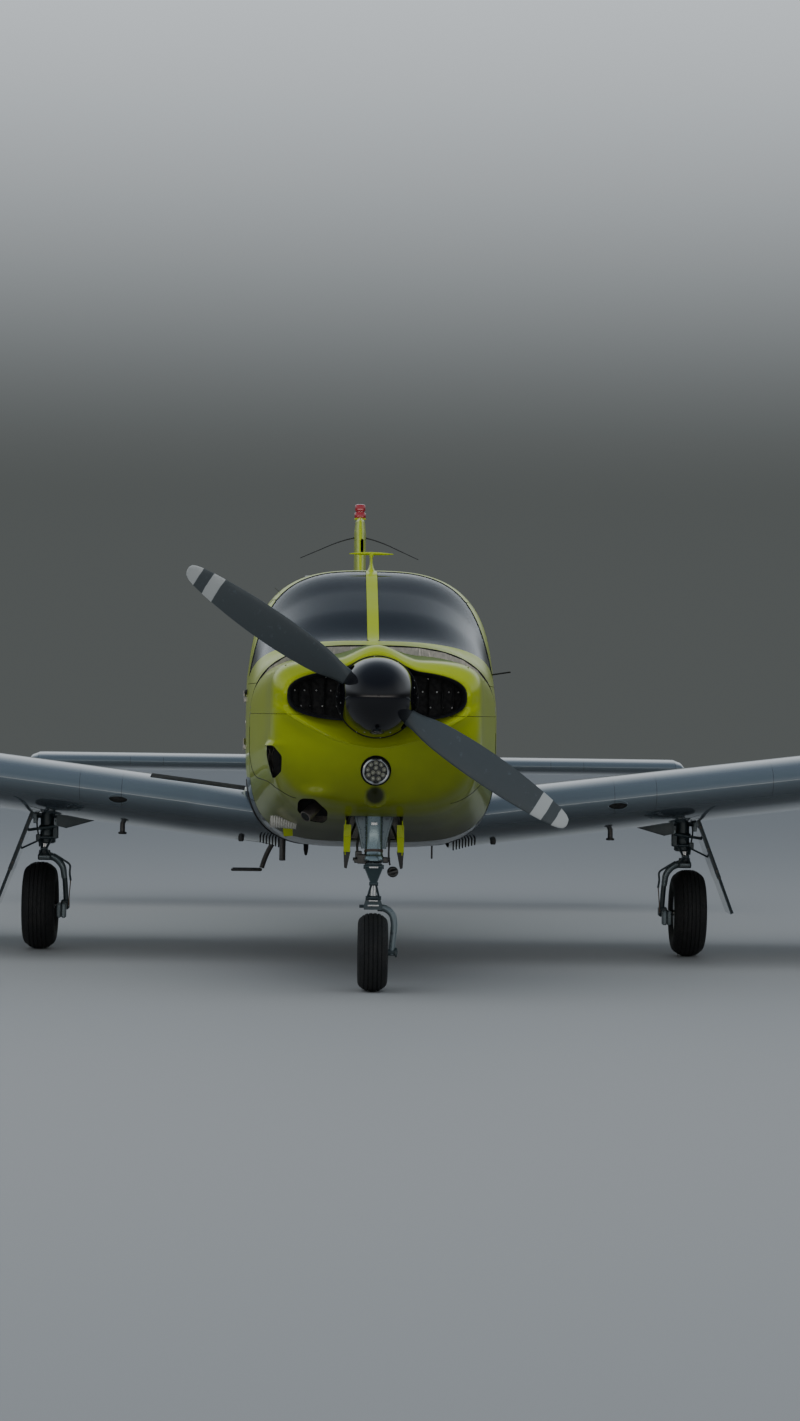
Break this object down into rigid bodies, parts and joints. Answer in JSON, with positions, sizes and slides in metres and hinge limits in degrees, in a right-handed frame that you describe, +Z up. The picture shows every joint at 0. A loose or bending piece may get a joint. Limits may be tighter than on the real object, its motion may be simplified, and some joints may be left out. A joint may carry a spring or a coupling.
{
  "type": "light aircraft",
  "caption": "Low-wing light aircraft with a cabin, a nose propeller, working control surfaces and doors, standing on a tricycle landing gear.",
  "frame": {"origin": "on the ground, at the middle of the aircraft's box: on its centre plane, halfway between the spinner's tip and the rudder's trailing edge", "axes": "+X towards the aircraft's own left (port) wing tip, +Y towards the tail, +Z up"},
  "size_m": [9.82, 7.5, 2.44],
  "materials": {
    "body_lime": "gloss",
    "cowl_lime": "gloss",
    "wing_silver": "gloss",
    "belly_grey": "satin",
    "spinner_black": "gloss",
    "blade_grey": "satin",
    "bare_metal": "satin",
    "steel_tube": "satin",
    "engine_iron": "matte",
    "gear_grey": "satin",
    "rim_metal": "satin",
    "tyre_rubber": "matte",
    "window_clear": "gloss",
    "lamp_glass": "gloss",
    "panel_black": "matte",
    "seat_leather": "satin"
  },
  "bodies": {
    "airframe": {"cowl_top": "cowl_lime", "cowl_bottom": "cowl_lime", "landing_light": "lamp_glass", "exhaust_pipe": "steel_tube", "engine_block": "engine_iron", "firewall": "bare_metal", "forward_deck": "body_lime", "side_port": "body_lime", "side_starboard": "body_lime", "cabin_roof": "body_lime", "belly_pan": "belly_grey", "aft_bulkhead": "bare_metal", "windscreen_port": "window_clear", "windscreen_starboard": "window_clear", "front_window_port": "window_clear", "rear_window_port": "window_clear", "rear_window_starboard": "window_clear", "instrument_panel": "panel_black", "front_seat_port": "seat_leather", "front_seat_starboard": "seat_leather", "rear_bench": "seat_leather", "tail_cone": "body_lime", "fin": "body_lime", "wing_port": "wing_silver", "wing_starboard": "wing_silver", "nose_gear_leg": "gear_grey", "nose_door_port": "body_lime", "nose_door_starboard": "body_lime", "main_leg_port": "gear_grey", "main_leg_starboard": "gear_grey", "leg_door_port": "wing_silver", "leg_door_starboard": "wing_silver"},
    "propeller": {"spinner": "spinner_black", "propeller_blades": "blade_grey"},
    "nose_steering": {"nose_fork": "gear_grey"},
    "nose_wheel": {"nose_tyre": "tyre_rubber", "nose_rim": "rim_metal"},
    "main_wheel_port": {"main_tyre_port": "tyre_rubber", "main_rim_port": "rim_metal"},
    "main_wheel_starboard": {"main_tyre_starboard": "tyre_rubber", "main_rim_starboard": "rim_metal"},
    "rudder": {"rudder": "body_lime"},
    "stabilator": {"stabilator": "wing_silver"},
    "anti_servo_tab": {"anti_servo_tab": "wing_silver"},
    "flap_port": {"flap_port": "wing_silver"},
    "flap_starboard": {"flap_starboard": "wing_silver"},
    "aileron_port": {"aileron_port": "wing_silver"},
    "aileron_starboard": {"aileron_starboard": "wing_silver"},
    "cabin_door": {"cabin_door": "body_lime", "door_window": "window_clear"},
    "baggage_door": {"baggage_door": "body_lime"}
  },
  "joints": [
    {"name": "propeller_spin", "type": "hinge", "parent": "airframe", "child": "propeller", "pos_m": [0, -3.45, 1.24], "axis": [0, 1, 0], "continuous": true},
    {"name": "rudder_swing", "type": "hinge", "parent": "airframe", "child": "rudder", "pos_m": [0, 3.25, 1.5], "axis": [0, 0.0328, 0.9995], "range_deg": [-27, 27]},
    {"name": "nose_steer", "type": "hinge", "parent": "airframe", "child": "nose_steering", "pos_m": [0, -3.16, 0.165], "axis": [0, 0.1392, 0.9903], "range_deg": [-30, 30]},
    {"name": "nose_wheel_spin", "type": "hinge", "parent": "nose_steering", "child": "nose_wheel", "pos_m": [0, -3.16, 0.165], "axis": [1, 0, 0], "continuous": true},
    {"name": "main_wheel_spin_port", "type": "hinge", "parent": "airframe", "child": "main_wheel_port", "pos_m": [1.59, -0.78, 0.212], "axis": [1, 0, 0], "continuous": true},
    {"name": "main_wheel_spin_starboard", "type": "hinge", "parent": "airframe", "child": "main_wheel_starboard", "pos_m": [-1.59, -0.78, 0.212], "axis": [1, 0, 0], "continuous": true},
    {"name": "stabilator_pitch", "type": "hinge", "parent": "airframe", "child": "stabilator", "pos_m": [0, 3.01, 0.87], "axis": [1, 0, 0], "range_deg": [-2, 14]},
    {"name": "tab_pitch", "type": "hinge", "parent": "stabilator", "child": "anti_servo_tab", "pos_m": [0, 3.4232, 0.87], "axis": [1, 0, 0], "range_deg": [-3, 12]},
    {"name": "flap_port_drop", "type": "hinge", "parent": "airframe", "child": "flap_port", "pos_m": [1.66147, -0.27592, 0.78992], "axis": [-0.9925, 0, -0.1219], "range_deg": [0, 40]},
    {"name": "flap_starboard_drop", "type": "hinge", "parent": "airframe", "child": "flap_starboard", "pos_m": [-1.66147, -0.27592, 0.78992], "axis": [-0.9925, 0, 0.1219], "range_deg": [0, 40]},
    {"name": "aileron_port_pitch", "type": "hinge", "parent": "airframe", "child": "aileron_port", "pos_m": [3.71147, -0.27592, 1.04163], "axis": [0.9925, 0, 0.1219], "range_deg": [-15, 30]},
    {"name": "aileron_starboard_pitch", "type": "hinge", "parent": "airframe", "child": "aileron_starboard", "pos_m": [-3.71147, -0.27592, 1.04163], "axis": [0.9925, 0, -0.1219], "range_deg": [-15, 30]},
    {"name": "cabin_door_hinge", "type": "hinge", "parent": "airframe", "child": "cabin_door", "pos_m": [-0.584, -1.76, 1.08], "axis": [0, 0, 1], "range_deg": [0, 75]},
    {"name": "baggage_door_hinge", "type": "hinge", "parent": "airframe", "child": "baggage_door", "pos_m": [-0.522, 0.04, 1.08], "axis": [0, 0, 1], "range_deg": [0, 95]}
  ],
  "couplings": [
    {"joint": "nose_steer", "follows": "rudder_swing", "ratio": -1.1111},
    {"joint": "tab_pitch", "follows": "stabilator_pitch", "ratio": 0.8},
    {"joint": "flap_starboard_drop", "follows": "flap_port_drop", "ratio": 1}
  ]
}
